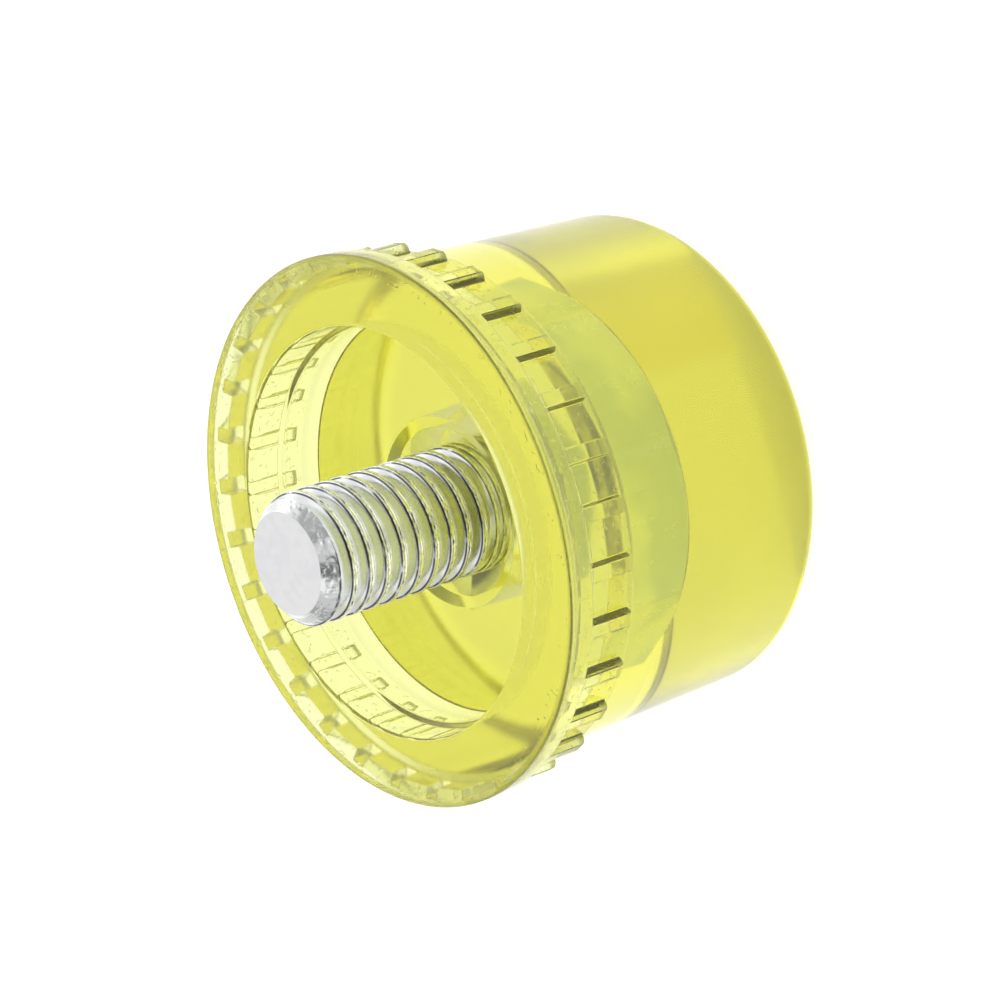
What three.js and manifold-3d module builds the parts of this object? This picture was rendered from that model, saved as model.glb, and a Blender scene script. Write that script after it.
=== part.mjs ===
// Screw-in face for a soft-face or dead blow mallet: a translucent moulded body with a hollow
// seating end, and a hex bolt moulded into it whose thread screws into the mallet's head.
// Millimetres, +Z up. The part stands on its striking face, its axis is Z, the stud points up,
// and the origin is the centre of the striking face.
import * as THREE from 'three';
import { mergeVertices } from 'three/addons/utils/BufferGeometryUtils.js';
import Module from 'manifold-3d';

const wasm = await Module();
wasm.setup();

// ---- driving dimensions: moulded body --------------------------------------------------
const BODY_HEIGHT = 34;          // striking face to seating rim
const RIM_RADIUS = 26.5;         // largest radius, at the seating rim
const FLANGE_WIDTH = 2.5;        // plain band behind the rim
const EDGE_ROUND = 0.4;          // rounding of the rim's outer and inner edges
const BAND_RADIUS = 25.1;        // floor of the ribbed band
const BAND_END = 8.7;            // rear end of the ribbed band, measured from the rim
const BARREL_RADIUS = 24.4;      // barrel just behind the ribbed band
const BARREL_START = 9.4;        // where the barrel starts, measured from the rim
const FACE_RADIUS = 23.8;        // barrel radius at the striking face, before its rounding
const FACE_ROUND = 1.4;          // rounding between the barrel and the striking face

const RIB_COUNT = 30;
const RIB_WIDTH = 1.5;
const RIB_TOP_RADIUS = 26.1;
const RIB_START = 2.7;           // front end of the ribs, buried in the flange's shoulder
const RIB_END = 8.1;             // rear end of the ribs, measured from the rim
const RIB_END_ROUND = 0.6;

const MOUTH_RADIUS = 19.75;      // hollow at the rim
const FLOOR_RADIUS = 19.5;       // hollow at its floor
const FLOOR_DEPTH = 8.5;         // floor of the hollow, measured from the rim
const BEAD_DEPTH = 4;            // middle of the small bead inside the hollow
const BEAD_HALF_WIDTH = 0.4;
const BEAD_RADIUS = 19.15;       // inner radius of the bead
const WELL_RADIUS = 9.3;         // shallow well round the stud, at the hollow's floor
const WELL_FLOOR_RADIUS = 8.2;
const WELL_DEPTH = 0.45;         // below the hollow's floor

// ---- driving dimensions: bolt, 1/2-13 UNC, fully threaded -------------------------------
const THREAD_PITCH = 25.4 / 13;
const THREAD_MAJOR_RADIUS = 6.3;
const THREAD_MINOR_RADIUS = 5.22;
const CREST_SHARE = 0.24;        // crest flat, as a share of the pitch
const ROOT_SHARE = 0.12;         // root flat, as a share of the pitch
const STUD_REACH = 10.9;         // stud end above the rim
const STUD_END_RADIUS = 4.9;     // flat at the stud's end, inside its chamfer
const HEAD_DEPTH = 15.25;        // bearing face of the head, measured from the rim
const HEAD_HEIGHT = 8.8;
const HEAD_ACROSS_FLATS = 19.05;
const HEAD_CHAMFER = THREE.MathUtils.degToRad(38);
const HEAD_TURN = THREE.MathUtils.degToRad(9);    // of a corner, from +X about +Z

const GAP = 0.3;                 // kept between the bolt and the body moulded round it

// ---- facets -----------------------------------------------------------------------------
const BODY_SIDES = 120;          // four facets for each rib pitch
const THREAD_SIDES = 30;
const ROWS_PER_PITCH = 8;
const ROUND_STEPS = 3;

// ---- levels along the axis --------------------------------------------------------------
const level = (depth) => BODY_HEIGHT - depth;
const STUD_END_Z = BODY_HEIGHT + STUD_REACH;
const HEAD_FRONT_Z = level(HEAD_DEPTH);
const HEAD_BACK_Z = HEAD_FRONT_Z - HEAD_HEIGHT;

// A closed mesh as a solid for cutting and joining.
function toSolid(geometry) {
  const plain = geometry.clone();
  plain.deleteAttribute('normal');
  plain.deleteAttribute('uv');
  const merged = mergeVertices(plain, 1e-5);
  return new wasm.Manifold(new wasm.Mesh({
    numProp: 3,
    vertProperties: new Float32Array(merged.attributes.position.array),
    triVerts: new Uint32Array(merged.index.array),
  }));
}

function toGeometry(solid) {
  const mesh = solid.getMesh();
  const geometry = new THREE.BufferGeometry();
  geometry.setAttribute('position', new THREE.BufferAttribute(new Float32Array(mesh.vertProperties), 3));
  geometry.setIndex(new THREE.BufferAttribute(new Uint32Array(mesh.triVerts), 1));
  geometry.computeVertexNormals();
  return geometry;
}

// A solid of revolution about Z from [radius, z] corners that start and end on the axis,
// listed from the bottom up along the outside.
function turned(corners, sides = BODY_SIDES) {
  const profile = corners.map(([radius, z]) => new THREE.Vector2(radius, z));
  const geometry = new THREE.LatheGeometry(profile, sides);
  geometry.rotateX(Math.PI / 2);
  return toSolid(geometry);
}

// Corners of a quarter or part circle in the profile plane, from one angle to another.
function arc(centreRadius, centreZ, size, fromAngle, toAngle, steps = ROUND_STEPS) {
  return Array.from({ length: steps + 1 }, (_, i) => {
    const angle = fromAngle + ((toAngle - fromAngle) * i) / steps;
    return [centreRadius + size * Math.cos(angle), centreZ + size * Math.sin(angle)];
  });
}

const QUARTER = Math.PI / 2;

// The body's outside, from the striking face up to the rim, and the hollow back down to the axis.
function bodyOfRevolution() {
  const shoulder = RIM_RADIUS - BAND_RADIUS;
  return turned([
    [0, 0],
    ...arc(FACE_RADIUS - FACE_ROUND, FACE_ROUND, FACE_ROUND, -QUARTER, 0, 4),
    [BARREL_RADIUS, level(BARREL_START)],
    [BAND_RADIUS, level(BAND_END)],
    [BAND_RADIUS, level(FLANGE_WIDTH + shoulder)],
    [RIM_RADIUS, level(FLANGE_WIDTH)],
    ...arc(RIM_RADIUS - EDGE_ROUND, level(EDGE_ROUND), EDGE_ROUND, 0, QUARTER),
    ...arc(MOUTH_RADIUS + EDGE_ROUND, level(EDGE_ROUND), EDGE_ROUND, QUARTER, 2 * QUARTER),
    [MOUTH_RADIUS, level(BEAD_DEPTH - BEAD_HALF_WIDTH)],
    [BEAD_RADIUS, level(BEAD_DEPTH)],
    [FLOOR_RADIUS, level(BEAD_DEPTH + BEAD_HALF_WIDTH)],
    [FLOOR_RADIUS, level(FLOOR_DEPTH)],
    [WELL_RADIUS, level(FLOOR_DEPTH)],
    [WELL_FLOOR_RADIUS, level(FLOOR_DEPTH + WELL_DEPTH)],
    [0, level(FLOOR_DEPTH + WELL_DEPTH)],
  ]);
}

// One grip rib on +X: a bar along Z whose lower outer corner is rounded. It runs up into the
// flange's shoulder, and its foot is buried in the band.
function rib() {
  const foot = BAND_RADIUS - 1;
  const bottom = level(RIB_END);
  const top = level(RIB_START);
  const outline = new THREE.Shape();
  outline.moveTo(foot, bottom);
  outline.lineTo(RIB_TOP_RADIUS - RIB_END_ROUND, bottom);
  outline.absarc(RIB_TOP_RADIUS - RIB_END_ROUND, bottom + RIB_END_ROUND, RIB_END_ROUND, -QUARTER, 0, false);
  outline.lineTo(RIB_TOP_RADIUS, top);
  outline.lineTo(foot, top);
  outline.closePath();
  const geometry = new THREE.ExtrudeGeometry(outline, {
    depth: RIB_WIDTH, bevelEnabled: false, curveSegments: ROUND_STEPS,
  });
  geometry.translate(0, 0, -RIB_WIDTH / 2);
  geometry.rotateX(QUARTER);
  return geometry;
}

// A hexagonal bar along Z, with one corner at the head's turn from +X.
function hexBar(acrossFlats, bottom, top) {
  const cornerRadius = acrossFlats / Math.sqrt(3);
  const outline = new THREE.Shape(Array.from({ length: 6 }, (_, i) => {
    const angle = HEAD_TURN + (i * Math.PI) / 3;
    return new THREE.Vector2(cornerRadius * Math.cos(angle), cornerRadius * Math.sin(angle));
  }));
  const geometry = new THREE.ExtrudeGeometry(outline, { depth: top - bottom, bevelEnabled: false });
  geometry.translate(0, 0, bottom);
  return toSolid(geometry);
}

// The bolt's space inside the body: a hexagonal pocket and the stud's hole, both with the gap.
function boltPocket() {
  const hole = THREAD_MAJOR_RADIUS + GAP;
  const head = hexBar(HEAD_ACROSS_FLATS + 2 * GAP, HEAD_BACK_Z - GAP, HEAD_FRONT_Z + GAP);
  const stud = turned([[0, HEAD_FRONT_Z], [hole, HEAD_FRONT_Z], [hole, BODY_HEIGHT], [0, BODY_HEIGHT]]);
  return head.add(stud);
}

function faceBody() {
  let solid = bodyOfRevolution();
  for (let i = 0; i < RIB_COUNT; i += 1) {
    const turnedRib = rib();
    turnedRib.rotateZ((2 * Math.PI * i) / RIB_COUNT);
    solid = solid.add(toSolid(turnedRib));
  }
  return toGeometry(solid.subtract(boltPocket()));
}

// Height of the thread form, 0 at the root and 1 at the crest, at a place along one pitch.
function threadForm(place) {
  const fromCrest = Math.abs(place - Math.floor(place) - 0.5);
  const flank = (1 - CREST_SHARE - ROOT_SHARE) / 2;
  return THREE.MathUtils.clamp(1 - (fromCrest - CREST_SHARE / 2) / flank, 0, 1);
}

// A right-hand threaded bar: rings of points along Z, joined into a closed skin.
function threadedBar(bottom, top) {
  const rows = Math.ceil(((top - bottom) / THREAD_PITCH) * ROWS_PER_PITCH);
  const positions = [];
  const faces = [];
  for (let row = 0; row <= rows; row += 1) {
    const z = bottom + ((top - bottom) * row) / rows;
    for (let side = 0; side < THREAD_SIDES; side += 1) {
      const turn = side / THREAD_SIDES;
      const form = threadForm(z / THREAD_PITCH - turn);
      const radius = THREE.MathUtils.lerp(THREAD_MINOR_RADIUS, THREAD_MAJOR_RADIUS, form);
      positions.push(radius * Math.cos(2 * Math.PI * turn), radius * Math.sin(2 * Math.PI * turn), z);
    }
  }
  for (let row = 0; row < rows; row += 1) {
    for (let side = 0; side < THREAD_SIDES; side += 1) {
      const next = (side + 1) % THREAD_SIDES;
      const a = row * THREAD_SIDES + side;
      const b = row * THREAD_SIDES + next;
      faces.push(a, b, b + THREAD_SIDES, a, b + THREAD_SIDES, a + THREAD_SIDES);
    }
  }
  const bottomCentre = positions.length / 3;
  positions.push(0, 0, bottom, 0, 0, top);
  for (let side = 0; side < THREAD_SIDES; side += 1) {
    const next = (side + 1) % THREAD_SIDES;
    const lastRow = rows * THREAD_SIDES;
    faces.push(bottomCentre, next, side);
    faces.push(bottomCentre + 1, lastRow + side, lastRow + next);
  }
  const geometry = new THREE.BufferGeometry();
  geometry.setAttribute('position', new THREE.Float32BufferAttribute(positions, 3));
  geometry.setIndex(faces);
  return toSolid(geometry);
}

// The stud's envelope: a bar with a 45 degree chamfer down to its end flat.
function studEnvelope() {
  const chamfer = THREAD_MAJOR_RADIUS + GAP - STUD_END_RADIUS;
  return turned([
    [0, HEAD_FRONT_Z - 1],
    [STUD_END_RADIUS + chamfer, HEAD_FRONT_Z - 1],
    [STUD_END_RADIUS + chamfer, STUD_END_Z - chamfer],
    [STUD_END_RADIUS, STUD_END_Z],
    [0, STUD_END_Z],
  ], 2 * THREAD_SIDES);
}

// The hexagonal head, its corners chamfered at the end away from the stud.
function boltHead() {
  const cornerRadius = HEAD_ACROSS_FLATS / Math.sqrt(3) + 1;
  const flatRadius = HEAD_ACROSS_FLATS / 2;
  const rise = (cornerRadius - flatRadius) * Math.tan(HEAD_CHAMFER);
  const envelope = turned([
    [0, HEAD_BACK_Z],
    [flatRadius, HEAD_BACK_Z],
    [cornerRadius, HEAD_BACK_Z + rise],
    [cornerRadius, HEAD_FRONT_Z],
    [0, HEAD_FRONT_Z],
  ], 2 * THREAD_SIDES);
  return hexBar(HEAD_ACROSS_FLATS, HEAD_BACK_Z - 1, HEAD_FRONT_Z).intersect(envelope);
}

function stud() {
  const bar = threadedBar(HEAD_FRONT_Z - 1, STUD_END_Z + THREAD_PITCH);
  return bar.intersect(studEnvelope());
}

const tipPlastic = new THREE.MeshStandardMaterial({
  name: 'amber_polyurethane', color: 0xdcdc5a, roughness: 0.15, metalness: 0, transparent: true, opacity: 0.7,
});
const zincSteel = new THREE.MeshStandardMaterial({
  name: 'zinc_plated_steel', color: 0xc9ccd0, roughness: 0.3, metalness: 1,
});

const body = new THREE.Mesh(faceBody(), tipPlastic);
body.name = 'face_body';

const bolt = new THREE.Mesh(toGeometry(boltHead().add(stud())), zincSteel);
bolt.name = 'hex_bolt';

const screwInFace = new THREE.Group();
screwInFace.add(body, bolt);

export default screwInFace;
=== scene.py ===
"""Looks for the screw-in mallet face: a clear amber body cast round a zinc-plated hex bolt."""

import math

import bpy
from mathutils import Matrix, Vector, noise


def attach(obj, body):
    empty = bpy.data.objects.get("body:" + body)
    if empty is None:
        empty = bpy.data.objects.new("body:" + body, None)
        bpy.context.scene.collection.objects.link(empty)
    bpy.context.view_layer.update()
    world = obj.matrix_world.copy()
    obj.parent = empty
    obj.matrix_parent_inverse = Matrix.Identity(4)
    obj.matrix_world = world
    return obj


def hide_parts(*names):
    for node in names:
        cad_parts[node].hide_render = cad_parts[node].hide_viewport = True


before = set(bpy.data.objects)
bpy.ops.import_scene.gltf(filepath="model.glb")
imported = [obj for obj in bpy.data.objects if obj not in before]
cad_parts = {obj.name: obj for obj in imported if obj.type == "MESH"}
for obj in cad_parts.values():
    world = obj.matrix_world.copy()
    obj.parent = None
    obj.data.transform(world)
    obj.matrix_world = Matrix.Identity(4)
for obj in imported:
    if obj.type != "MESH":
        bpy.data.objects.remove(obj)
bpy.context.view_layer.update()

MM = 0.001

# ---- moulded body, millimetres; depths are measured from the seating rim -----------------
BODY_HEIGHT = 34.0
RIM_RADIUS = 26.5
FLANGE_WIDTH = 2.5
BAND_RADIUS = 25.1
BAND_END = 8.7
BARREL_RADIUS = 24.4
BARREL_START = 9.4
FACE_RADIUS = 23.8
MOUTH_RADIUS = 19.75
FLOOR_RADIUS = 19.5
FLOOR_DEPTH = 8.5
BEAD_DEPTH = 4.0
BEAD_HALF_WIDTH = 0.4
BEAD_RADIUS = 19.15
WELL_RADIUS = 9.3
WELL_FLOOR_RADIUS = 8.2
WELL_DEPTH = 0.45

RIB_COUNT = 30
RIB_HALF_WIDTH = 0.75
RIB_HEIGHT = 1.0
RIB_END = 8.1
RIB_END_BULGE = 0.05
RIB_END_ROUND = 0.6
RIB_ROUND = 0.12
RIB_DRAFT = 0.05
RIB_FILLET = 0.2

# ---- bolt, millimetres --------------------------------------------------------------------
PITCH = 25.4 / 13
MAJOR_RADIUS = 6.3
THREAD_DEPTH = 1.08
CREST_HALF = 0.12
ROOT_HALF = 0.06
SEAM_HALF = 0.06
SEAM_DEPTH = 0.09
STUD_REACH = 10.9
STUD_END_RADIUS = 4.9
HEAD_DEPTH = 15.25
HEAD_HEIGHT = 8.8
HEAD_TURN = math.radians(9)
HEAD_CHAMFER = math.radians(38)
ACROSS_FLATS = 19.05


def lerp(a, b, t):
    return a + (b - a) * t


def smoothstep(t):
    t = min(max(t, 0.0), 1.0)
    return t * t * (3 - 2 * t)


# ---- outlines -------------------------------------------------------------------------------
def rounded(corners, steps=6, guard=0.06):
    """An outline through (x, y, radius) corners, each one turned into an arc of its own radius."""
    outline = []
    last = len(corners) - 1
    for i, (x, y, radius) in enumerate(corners):
        here = Vector((x, y))
        if i in (0, last) or radius == 0:
            outline.append(here)
            continue
        before = (Vector(corners[i - 1][:2]) - here).normalized()
        after = (Vector(corners[i + 1][:2]) - here).normalized()
        half = before.angle(after) / 2
        reach = radius / math.tan(half)
        centre = here + (before + after).normalized() * radius / math.sin(half)
        start = here + before * reach
        end = here + after * reach
        outline.append(start + before * guard)
        turn = (start - centre).angle_signed(end - centre)
        for k in range(steps + 1):
            spoke = Matrix.Rotation(-turn * k / steps, 2) @ (start - centre)
            outline.append(centre + spoke)
        outline.append(end + after * guard)
    return outline


def subdivided(outline, longest):
    """The same outline with no stretch longer than given."""
    fine = [outline[0]]
    for start, end in zip(outline, outline[1:]):
        count = max(1, math.ceil((end - start).length / longest))
        fine += [start.lerp(end, k / count) for k in range(1, count + 1)]
    return fine


def body_outline():
    """(radius, depth) points from the centre of the striking face round to the well's centre."""
    well = FLOOR_DEPTH + WELL_DEPTH
    shoulder = FLANGE_WIDTH + RIM_RADIUS - BAND_RADIUS
    return [
        (0, BODY_HEIGHT, 0),
        (FACE_RADIUS, BODY_HEIGHT, 1.4),
        (BARREL_RADIUS, BARREL_START, 0.4),
        (BAND_RADIUS, BAND_END, 0.3),
        (BAND_RADIUS, shoulder, 0.15),
        (RIM_RADIUS, FLANGE_WIDTH, 0.12),
        (RIM_RADIUS, 0, 0.4),
        (MOUTH_RADIUS, 0, 0.35),
        (MOUTH_RADIUS, BEAD_DEPTH - BEAD_HALF_WIDTH, 0.12),
        (BEAD_RADIUS, BEAD_DEPTH, 0.22),
        (FLOOR_RADIUS, BEAD_DEPTH + BEAD_HALF_WIDTH, 0.12),
        (FLOOR_RADIUS, FLOOR_DEPTH, 0.2),
        (WELL_RADIUS, FLOOR_DEPTH, 0.3),
        (WELL_FLOOR_RADIUS, well, 0.4),
        (0, well, 0),
    ]


# ---- ribs -----------------------------------------------------------------------------------
def rib_section():
    """(across, height) points over one rib pitch, from the middle of a gap to the next one."""
    half_pitch = math.pi * BAND_RADIUS / RIB_COUNT
    side = rounded([
        (0, RIB_HEIGHT, 0),
        (RIB_HALF_WIDTH - RIB_DRAFT, RIB_HEIGHT, RIB_ROUND),
        (RIB_HALF_WIDTH + RIB_DRAFT, 0, RIB_ROUND),
        (half_pitch, 0, 0),
    ], steps=4, guard=0.04)
    side = subdivided(side, 0.4)
    left = [(-x, h) for x, h in reversed(side)]
    return left + [(x, h) for x, h in side[1:-1]]


def rib_end_shift(across, depth):
    """How far a row near the ribs' rear end moves towards the rim, so that the end is round in plan."""
    share = min(abs(across) / RIB_HALF_WIDTH, 1.0)
    bulge = RIB_END_BULGE * (1 - math.sqrt(1 - share * share))
    return bulge * (1 - smoothstep(abs(depth - RIB_END)))


def rib_rise(height, radius, depth):
    """How far a rib stands out of the outline, at a height of its own section."""
    outside = radius > BAND_RADIUS - 0.01 and FLANGE_WIDTH - 0.5 < depth < RIB_END
    if height <= 0 or not outside:
        return 0.0
    ending = min((RIB_END - depth) / RIB_END_ROUND, 1.0)
    cap = math.sqrt(1 - (1 - ending) ** 2)
    top = BAND_RADIUS + height * cap
    proud = top - radius
    blend = RIB_FILLET * height * cap / RIB_HEIGHT + 1e-9
    return max(proud, 0.0) + max(blend - abs(proud), 0.0) ** 2 / (4 * blend)


def body_rows():
    """The outline's points, set closer along the ribs and closest at the ribs' rear end."""
    outline = rounded(body_outline())
    fine = subdivided(outline, 1.0)
    rows = []
    for start, end in zip(fine, fine[1:]):
        rows.append(start)
        ribbed = min(start.y, end.y) < RIB_END + 0.6 and min(start.x, end.x) > BAND_RADIUS - 0.01
        if ribbed and min(start.y, end.y) > FLANGE_WIDTH - 0.05:
            near_end = abs((start.y + end.y) / 2 - RIB_END) < 0.8
            step = 0.06 if near_end else 0.15
            count = max(1, math.ceil((end - start).length / step))
            rows += [start.lerp(end, k / count) for k in range(1, count)]
    rows.append(fine[-1])
    return rows


def new_object(name, vertices, faces):
    mesh = bpy.data.meshes.new(name)
    mesh.from_pydata([tuple(v) for v in vertices], [], faces)
    mesh.update()
    mesh.polygons.foreach_set("use_smooth", [True] * len(mesh.polygons))
    piece = bpy.data.objects.new(name, mesh)
    bpy.context.collection.objects.link(piece)
    return piece


def ring_faces(rows, sides):
    faces = []
    for row in range(rows - 1):
        for side in range(sides):
            a = row * sides + side
            b = row * sides + (side + 1) % sides
            faces.append((a, b, b + sides, a + sides))
    return faces


def cast_body():
    """The outline turned round the axis, with the ribs raised on it, closed at both centres."""
    section = rib_section()
    rows = body_rows()[1:-1]
    sides = RIB_COUNT * len(section)
    vertices = []
    for radius, depth in rows:
        for rib in range(RIB_COUNT):
            for across, height in section:
                angle = 2 * math.pi * rib / RIB_COUNT + across / BAND_RADIUS
                back = depth
                if radius > BAND_RADIUS - 0.05:
                    back = depth - rib_end_shift(across, depth)
                out = radius + rib_rise(height, radius, depth)
                z = BODY_HEIGHT - back
                vertices.append((out * math.cos(angle) * MM, out * math.sin(angle) * MM, z * MM))
    faces = ring_faces(len(rows), sides)
    face_centre = len(vertices)
    vertices.append((0, 0, 0))
    vertices.append((0, 0, (BODY_HEIGHT - FLOOR_DEPTH - WELL_DEPTH) * MM))
    last = (len(rows) - 1) * sides
    for side in range(sides):
        after = (side + 1) % sides
        faces.append((face_centre, after, side))
        faces.append((face_centre + 1, last + side, last + after))
    return new_object("cast_body", vertices, faces)


# ---- bolt -----------------------------------------------------------------------------------
BOLT_SIDES = 240
ROWS_PER_PITCH = 48


def worn(angle, z, size):
    """A number from about -1 to 1 that wanders over the bolt's surface in patches of one size."""
    place = Vector((MAJOR_RADIUS * math.cos(angle), MAJOR_RADIUS * math.sin(angle), z))
    return noise.noise(place / size)


def thread_radius(angle, z, top):
    """The thread's surface: rolled crests with a torn seam along them, and a chamfered end."""
    place = z / PITCH - angle / (2 * math.pi)
    from_crest = abs(place - math.floor(place) - 0.5)
    t = (from_crest - CREST_HALF) / (0.5 - CREST_HALF - ROOT_HALF)
    t = min(max(t, 0.0), 1.0)
    radius = MAJOR_RADIUS - THREAD_DEPTH * lerp(t, smoothstep(t), 0.3)
    if from_crest < CREST_HALF:
        seam = max(1 - from_crest / SEAM_HALF, 0.0)
        radius -= SEAM_DEPTH * seam * (0.7 + 1.2 * worn(angle, z, 0.9))
        radius -= 0.10 * max(worn(angle, z, 0.4) - 0.1, 0.0)
    chamfer = STUD_END_RADIUS + (top - z)
    if radius > chamfer:
        torn = 0.07 * max(worn(angle, z, 0.35), 0.0) + 0.10 * max(worn(angle, z, 1.1), 0.0)
        radius = chamfer - torn * min((top - z) / 0.3, 1.0)
    return radius


def hexagon_radius(angle):
    from_corner = (angle - HEAD_TURN) % (math.pi / 3)
    return ACROSS_FLATS / 2 / math.cos(from_corner - math.pi / 6)


def moulded_bolt():
    """The bolt as rings of points from the stud's end down to the back of its head."""
    top = BODY_HEIGHT + STUD_REACH
    head_front = BODY_HEIGHT - HEAD_DEPTH
    head_back = head_front - HEAD_HEIGHT
    chamfer_radius = 0.97 * ACROSS_FLATS / 2
    angles = [2 * math.pi * side / BOLT_SIDES for side in range(BOLT_SIDES)]
    count = math.ceil((top - head_front) / PITCH * ROWS_PER_PITCH)
    levels = [lerp(top, head_front, row / count) for row in range(count + 1)]
    rings = [[(thread_radius(a, z, top), z) for a in angles] for z in levels]
    corner = [min(hexagon_radius(a), ACROSS_FLATS / math.sqrt(3) - 0.15) for a in angles]
    rings.append([(radius, head_front) for radius in corner])
    rise = [(radius - chamfer_radius) * math.tan(HEAD_CHAMFER) for radius in corner]
    rings.append([(radius, head_back + up) for radius, up in zip(corner, rise)])
    rings.append([(chamfer_radius, head_back)] * BOLT_SIDES)
    vertices = []
    for ring in rings:
        for angle, (radius, z) in zip(angles, ring):
            vertices.append((radius * math.cos(angle) * MM, radius * math.sin(angle) * MM, z * MM))
    vertices.append((0, 0, top * MM))
    vertices.append((0, 0, head_back * MM))
    faces = ring_faces(len(rings), BOLT_SIDES)
    faces = [face[::-1] for face in faces]
    last = (len(rings) - 1) * BOLT_SIDES
    end_centre = len(vertices) - 2
    for side in range(BOLT_SIDES):
        after = (side + 1) % BOLT_SIDES
        faces.append((end_centre, side, after))
        faces.append((end_centre + 1, last + after, last + side))
    bolt = new_object("moulded_bolt", vertices, faces)
    bolt.data.set_sharp_from_angle(angle=math.radians(35))
    return bolt


# ---- materials --------------------------------------------------------------------------------
ABSORPTION_PER_M = (2.2, 3.6, 58.0)
SURFACE_TINT = (0.92, 0.95, 0.62, 1)


class Nodes:
    """A material's node tree, with short calls for the nodes used here."""

    def __init__(self, name):
        self.material = bpy.data.materials.new(name)
        self.material.use_nodes = True
        self.tree = self.material.node_tree
        self.shader = self.tree.nodes["Principled BSDF"]
        self.output = self.tree.nodes["Material Output"]
        coords = self.add("ShaderNodeTexCoord")
        self.place = coords.outputs["Object"]

    def add(self, kind, **settings):
        node = self.tree.nodes.new(kind)
        for key, value in settings.items():
            setattr(node, key, value)
        return node

    def feed(self, socket, value):
        if isinstance(value, bpy.types.NodeSocket):
            self.tree.links.new(value, socket)
        else:
            socket.default_value = value

    def math(self, operation, *values):
        node = self.add("ShaderNodeMath", operation=operation)
        for socket, value in zip(node.inputs, values):
            self.feed(socket, value)
        return node.outputs[0]

    def ramp(self, value, low, high, start=0.0, end=1.0):
        """start where value is below low, end where it is above high, and smooth between."""
        node = self.add("ShaderNodeMapRange", interpolation_type="SMOOTHSTEP")
        for key, setting in {0: value, 1: low, 2: high, 3: start, 4: end}.items():
            self.feed(node.inputs[key], setting)
        return node.outputs[0]

    def above(self, value, low, high):
        return self.ramp(value, low, high)

    def below(self, value, low, high):
        return self.ramp(value, low, high, 1.0, 0.0)

    def product(self, first, *others):
        for other in others:
            first = self.math("MULTIPLY", first, other)
        return first

    def raised(self, value, *steps):
        """The value with each (mask, amount) step added where its mask is 1."""
        for mask, amount in steps:
            value = self.math("MULTIPLY_ADD", mask, amount, value)
        return value

    def mixed(self, mask, first, second):
        """The first colour where the mask is 0, and the second where it is 1."""
        node = self.add("ShaderNodeMix", data_type="RGBA")
        self.feed(node.inputs["Factor"], mask)
        self.feed(node.inputs["A"], first)
        self.feed(node.inputs["B"], second)
        return node.outputs["Result"]

    def height_and_radius(self):
        """Height above the striking face and distance from the axis, in millimetres."""
        split = self.add("ShaderNodeSeparateXYZ")
        self.feed(split.inputs[0], self.place)
        x, y, z = split.outputs
        square = self.math("ADD", self.math("MULTIPLY", x, x), self.math("MULTIPLY", y, y))
        return self.math("DIVIDE", z, MM), self.math("DIVIDE", self.math("SQRT", square), MM)

    def noise(self, scale, detail=2.0, vector=None):
        node = self.add("ShaderNodeTexNoise")
        self.feed(node.inputs["Vector"], self.place if vector is None else vector)
        self.feed(node.inputs["Scale"], scale)
        self.feed(node.inputs["Detail"], detail)
        return node.outputs["Fac"]

    def noise_along(self, value, scale):
        """Noise that changes only with one value."""
        line = self.add("ShaderNodeCombineXYZ")
        self.feed(line.inputs[0], value)
        return self.noise(scale, detail=3.0, vector=line.outputs[0])

    def stretched(self, scale):
        node = self.add("ShaderNodeMapping")
        self.feed(node.inputs["Vector"], self.place)
        self.feed(node.inputs["Scale"], scale)
        return node.outputs["Vector"]

    def bump(self, height, distance, normal=None):
        node = self.add("ShaderNodeBump")
        self.feed(node.inputs["Height"], height)
        self.feed(node.inputs["Distance"], distance)
        if normal is not None:
            self.feed(node.inputs["Normal"], normal)
        return node.outputs["Normal"]


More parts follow.
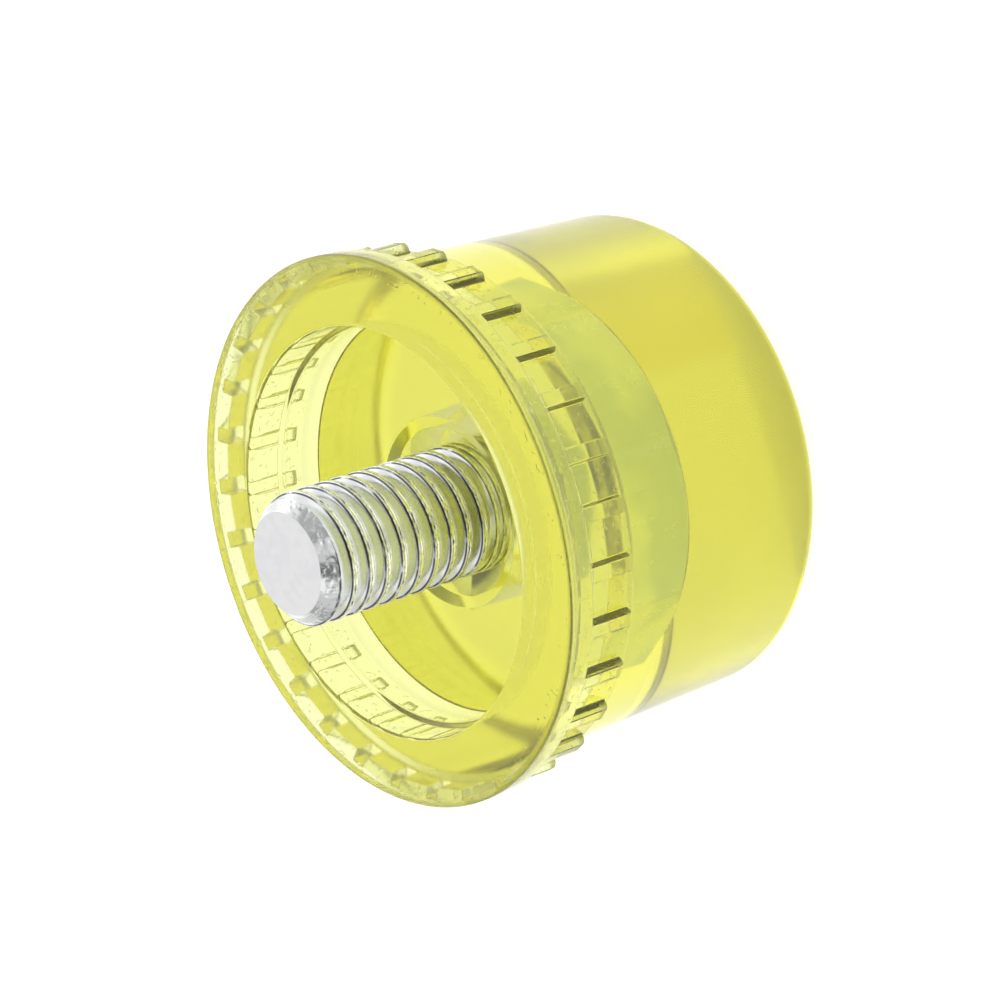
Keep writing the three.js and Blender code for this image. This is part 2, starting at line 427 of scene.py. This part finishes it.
def clear_amber():
    """Clear plastic, with its roughness zoned by place and an absorption that makes it yellow."""
    n = Nodes("clear_amber_polyurethane")
    n.shader.inputs["Base Color"].default_value = SURFACE_TINT
    n.shader.inputs["Transmission Weight"].default_value = 0.95
    n.shader.inputs["IOR"].default_value = 1.53
    z, radius = n.height_and_radius()
    floor_z = BODY_HEIGHT - FLOOR_DEPTH
    ledge_z = BODY_HEIGHT - FLANGE_WIDTH
    rib_end_z = BODY_HEIGHT - RIB_END
    step_low = BODY_HEIGHT - BARREL_START
    step_high = BODY_HEIGHT - BAND_END

    on_face = n.below(z, 0.2, 1.2)
    on_rim = n.above(z, BODY_HEIGHT - 0.12, BODY_HEIGHT - 0.02)
    on_edge = n.product(
        n.above(z, BODY_HEIGHT - 0.9, BODY_HEIGHT - 0.4),
        n.above(radius, RIM_RADIUS - 0.7, RIM_RADIUS - 0.4),
    )
    on_floor = n.product(
        n.below(radius, FLOOR_RADIUS - 0.2, FLOOR_RADIUS - 0.05),
        n.below(z, floor_z + 0.1, floor_z + 0.3),
        n.above(z, floor_z - 10.5, floor_z - 9.5),
    )
    on_step = n.product(
        n.above(z, step_low - 0.3, step_low),
        n.below(z, step_high, step_high + 0.3),
        n.above(radius, BARREL_RADIUS - 0.6, BARREL_RADIUS - 0.4),
    )
    outside_band = n.above(radius, BAND_RADIUS - 0.4, BAND_RADIUS - 0.2)
    on_ribs = n.product(outside_band, n.below(z, ledge_z - 0.5, ledge_z - 0.2))
    on_ledge = n.product(
        n.above(z, ledge_z - 0.15, ledge_z - 0.05),
        n.below(z, ledge_z + 0.05, ledge_z + 0.15),
        n.above(radius, BAND_RADIUS - 0.1, BAND_RADIUS + 0.1),
    )
    on_rib_end = n.product(
        n.above(z, rib_end_z - 0.3, rib_end_z),
        n.below(z, rib_end_z + 0.9, rib_end_z + 1.3),
        n.above(radius, BAND_RADIUS + 0.1, BAND_RADIUS + 0.3),
    )
    rough = n.math("MULTIPLY_ADD", on_face, 0.07, 0.05)
    rough = n.raised(rough, (on_rim, 0.10), (on_edge, 0.30), (on_floor, 0.10), (on_step, 0.25))
    rough = n.raised(rough, (on_ribs, 0.08), (on_ledge, 0.25), (on_rib_end, 0.30))
    n.feed(n.shader.inputs["Roughness"], rough)

    waves = n.bump(n.noise(70.0, detail=1.0), 0.04 * MM)
    turned = n.bump(n.product(n.noise_along(radius, 4.0), on_rim), 0.006 * MM, normal=waves)
    on_band = n.product(outside_band, n.above(z, step_high - 0.3, step_high + 0.3))
    specks = n.product(n.ramp(n.noise(1900.0, detail=0.0), 0.70, 0.76), on_band)
    n.feed(n.shader.inputs["Normal"], n.bump(specks, 0.03 * MM, normal=turned))

    density = max(ABSORPTION_PER_M)
    absorb = n.add("ShaderNodeVolumeAbsorption")
    absorb.inputs["Density"].default_value = density
    absorb.inputs["Color"].default_value = (*(1 - a / density for a in ABSORPTION_PER_M), 1)
    n.feed(n.output.inputs["Volume"], absorb.outputs["Volume"])
    return n.material


ZINC_DARK = (0.79, 0.79, 0.81, 1)
ZINC_LIGHT = (0.83, 0.83, 0.84, 1)
ZINC_ON_THREAD = (0.79, 0.81, 0.80, 1)
HEAD_GREEN = (0.56, 0.64, 0.58, 1)
HEAD_PALE = (0.71, 0.76, 0.60, 1)
# painted shade: near-black colour for the shadows along the lips of each rolled crest
LIP_PAINTED_SHADE = (0.10, 0.10, 0.11, 1)


def zinc_plate():
    """Bright zinc, dulled on the head's sides, with painted shade along the lips of the rolled crests.
    """
    n = Nodes("zinc_plate")
    n.shader.inputs["Metallic"].default_value = 1.0
    z, radius = n.height_and_radius()
    end = BODY_HEIGHT + STUD_REACH
    bearing = BODY_HEIGHT - HEAD_DEPTH
    head_back = bearing - HEAD_HEIGHT

    on_head = n.below(z, bearing - 0.35, bearing - 0.05)
    on_sides = n.product(on_head, n.above(z, head_back + 0.15, head_back + 0.55))
    on_bearing = n.product(
        n.ramp(z, bearing - 0.15, bearing - 0.03, 0.0, 0.8),
        n.below(z, bearing + 0.05, bearing + 0.25),
    )
    on_thread = n.product(
        n.above(radius, STUD_END_RADIUS, STUD_END_RADIUS + 0.15),
        n.above(z, bearing + 0.05, bearing + 0.45),
    )
    # painted shade: a band just under each crest's top on both flanks, broken into noisy patches,
    # stands in for the lips' shadows
    painted_lip_shade = n.product(
        n.above(radius, MAJOR_RADIUS - 0.26, MAJOR_RADIUS - 0.18),
        n.below(radius, MAJOR_RADIUS - 0.10, MAJOR_RADIUS - 0.05),
        n.above(z, bearing + 1.25, bearing + 1.65),
        n.ramp(n.noise(700.0), 0.25, 0.50),
    )
    on_chamfer = n.product(
        n.above(z, end - 1.7, end - 1.2),
        n.above(radius, STUD_END_RADIUS - 0.3, STUD_END_RADIUS),
    )

    cloud = n.noise(900.0, detail=4.0)
    plate = n.mixed(n.ramp(cloud, 0.35, 0.65), ZINC_DARK, ZINC_LIGHT)
    patches = n.mixed(n.ramp(n.noise(130.0), 0.40, 0.60), HEAD_GREEN, HEAD_PALE)
    colour = n.mixed(on_sides, plate, patches)
    colour = n.mixed(on_thread, colour, ZINC_ON_THREAD)
    # paint the shade along the crest lips into the colour
    colour = n.mixed(painted_lip_shade, colour, LIP_PAINTED_SHADE)
    n.feed(n.shader.inputs["Base Color"], colour)

    drawn = n.noise(1.0, detail=3.0, vector=n.stretched((900, 900, 45)))
    rough = n.math("MULTIPLY_ADD", cloud, 0.16, 0.14)
    rough = n.raised(rough, (n.product(on_head, drawn), 0.16))
    rough = n.product(rough, n.math("SUBTRACT", 1.0, on_bearing))
    n.feed(n.shader.inputs["Roughness"], rough)

    coat = n.bump(n.noise(2600.0), 0.0015 * MM)
    torn = n.bump(n.product(n.noise(2300.0, detail=3.0), on_chamfer), 0.02 * MM, normal=coat)
    n.feed(n.shader.inputs["Normal"], n.bump(n.product(drawn, on_sides), 0.02 * MM, normal=torn))
    return n.material


WHITE = (1, 1, 1, 1)
FLOOR_GLOW = 0.75


def pale_floor():
    n = Nodes("pale_floor")
    n.shader.inputs["Base Color"].default_value = (0.65, 0.65, 0.65, 1)
    n.shader.inputs["Roughness"].default_value = 0.9
    n.shader.inputs["Specular IOR Level"].default_value = 0.0
    n.shader.inputs["Emission Color"].default_value = WHITE
    n.shader.inputs["Emission Strength"].default_value = FLOOR_GLOW
    return n.material


# ---- pieces -----------------------------------------------------------------------------------
body = cast_body()
body.data.materials.append(clear_amber())
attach(body, "root")
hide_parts("face_body")

bolt = moulded_bolt()
bolt.data.materials.append(zinc_plate())
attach(bolt, "root")
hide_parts("hex_bolt")

# ---- stage --------------------------------------------------------------------------------------
bpy.ops.mesh.primitive_plane_add(size=4.0, location=(0, 0, -0.0002))
floor = bpy.context.object
floor.name = "floor"
floor.data.materials.append(pale_floor())

WARM = (0.95, 0.90, 0.0, 1)
HORIZON_STRENGTH = 0.75
OVERHEAD_STRENGTH = 0.12
BACK_STRENGTH = 0.95
BACK_LIGHT = Vector((-0.83, 0.12, 0.54))
WARM_PATCH = Vector((-0.587, -0.475, 0.656))


def studio_world():
    """A light tent: pale at the horizon, dim overhead, bright behind, with one small warm patch."""
    world = bpy.data.worlds.new("studio")
    world.use_nodes = True
    bpy.context.scene.world = world
    tree = world.node_tree
    direction = tree.nodes.new("ShaderNodeTexCoord").outputs["Generated"]

    def ramp(value, low, high, start, end):
        node = tree.nodes.new("ShaderNodeMapRange")
        node.interpolation_type = "SMOOTHSTEP"
        tree.links.new(value, node.inputs[0])
        for socket, number in zip(node.inputs[1:5], (low, high, start, end)):
            socket.default_value = number
        return node.outputs[0]

    split = tree.nodes.new("ShaderNodeSeparateXYZ")
    tree.links.new(direction, split.inputs[0])
    horizon = ramp(split.outputs["Z"], 0.02, 0.4, HORIZON_STRENGTH, OVERHEAD_STRENGTH)

    def towards(centre):
        node = tree.nodes.new("ShaderNodeVectorMath")
        node.operation = "DOT_PRODUCT"
        tree.links.new(direction, node.inputs[0])
        node.inputs[1].default_value = centre
        return node.outputs["Value"]

    back = ramp(towards(BACK_LIGHT), 0.35, 0.8, 0.0, BACK_STRENGTH)
    larger = tree.nodes.new("ShaderNodeMath")
    larger.operation = "MAXIMUM"
    tree.links.new(horizon, larger.inputs[0])
    tree.links.new(back, larger.inputs[1])
    colour = tree.nodes.new("ShaderNodeMix")
    colour.data_type = "RGBA"
    tree.links.new(ramp(towards(WARM_PATCH), 0.974, 0.981, 0.0, 1.0), colour.inputs["Factor"])
    colour.inputs["A"].default_value = WHITE
    colour.inputs["B"].default_value = WARM
    background = tree.nodes["Background"]
    tree.links.new(colour.outputs["Result"], background.inputs["Color"])
    tree.links.new(larger.outputs[0], background.inputs["Strength"])


studio_world()


def softbox(name, azimuth, elevation, brightness, size=0.85):
    """A square area light a metre away, at a compass angle and a height in degrees."""
    lamp = bpy.data.lights.new(name, "AREA")
    lamp.shape = "SQUARE"
    lamp.size = size
    lamp.energy = brightness * math.pi * size * size
    holder = bpy.data.objects.new(name, lamp)
    bpy.context.collection.objects.link(holder)
    a = math.radians(azimuth)
    e = math.radians(elevation)
    away = Vector((math.cos(e) * math.cos(a), math.cos(e) * math.sin(a), math.sin(e)))
    holder.location = away
    holder.rotation_euler = away.to_track_quat("Z", "Y").to_euler()


softbox("back_left", -97, 45, 0.6)
softbox("right", 93, 48, 0.35)
softbox("back_right_low", 137, 22, 0.6, size=0.5)
softbox("front_right", 40, 24, 0.7)
softbox("front_high", 12, 46, 0.7, size=0.6)
softbox("front_left", -44, 22, 1.0)

# ---- camera -------------------------------------------------------------------------------------
CAMERA_AZIMUTH = 8.818
CAMERA_ELEVATION = 38.260
CAMERA_ROLL = 107.7
CAMERA_DISTANCE = 0.35748
CAMERA_TARGET = Vector((0.00005, -0.00034, 0.0191))
CAMERA_LENS = 134.9


def set_camera():
    lens = bpy.data.cameras.new("camera")
    lens.lens = CAMERA_LENS
    lens.sensor_width = 36
    camera = bpy.data.objects.new("camera", lens)
    bpy.context.collection.objects.link(camera)
    a = math.radians(CAMERA_AZIMUTH)
    e = math.radians(CAMERA_ELEVATION)
    away = Vector((math.cos(e) * math.cos(a), math.cos(e) * math.sin(a), math.sin(e)))
    upright = away.to_track_quat("Z", "Y").to_matrix().to_4x4()
    roll = Matrix.Rotation(-math.radians(CAMERA_ROLL), 4, "Z")
    camera.matrix_world = Matrix.Translation(CAMERA_TARGET + away * CAMERA_DISTANCE) @ upright @ roll
    bpy.context.scene.camera = camera


set_camera()
scene = bpy.context.scene
scene.view_settings.view_transform = "Standard"
scene.cycles.max_bounces = 32
scene.cycles.transmission_bounces = 32
